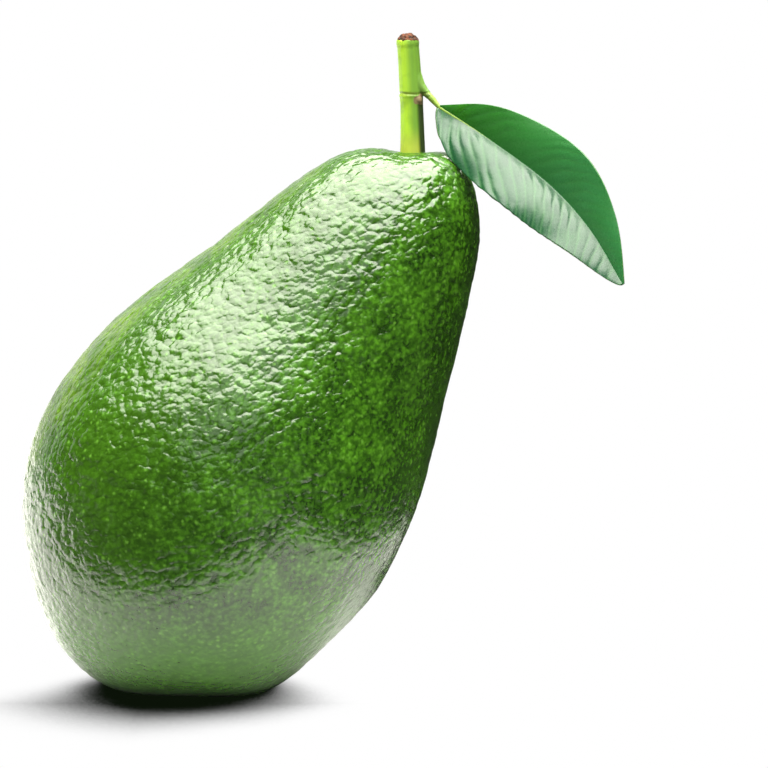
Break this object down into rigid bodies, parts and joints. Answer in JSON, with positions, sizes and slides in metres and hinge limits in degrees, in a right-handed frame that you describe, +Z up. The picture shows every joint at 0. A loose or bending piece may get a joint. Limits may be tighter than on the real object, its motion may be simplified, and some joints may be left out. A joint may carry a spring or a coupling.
{
  "type": "avocado",
  "caption": "Whole pear-shaped green avocado with pebbled skin, a cut stem and a folded leaf, leaning on a small flat spot under its belly.",
  "frame": {"origin": "on the flat spot that the fruit rests on, near its middle", "axes": "+Z up; the neck leans towards +X, 56.5 degrees up from the floor; the leaf's upper face looks towards -Y"},
  "size_m": [0.1076, 0.0678, 0.1181],
  "materials": {
    "skin": "satin",
    "stem": "satin",
    "leaf": "satin"
  },
  "bodies": {
    "root": {"fruit": "skin", "stem": "stem", "leaf": "leaf"}
  },
  "joints": []
}
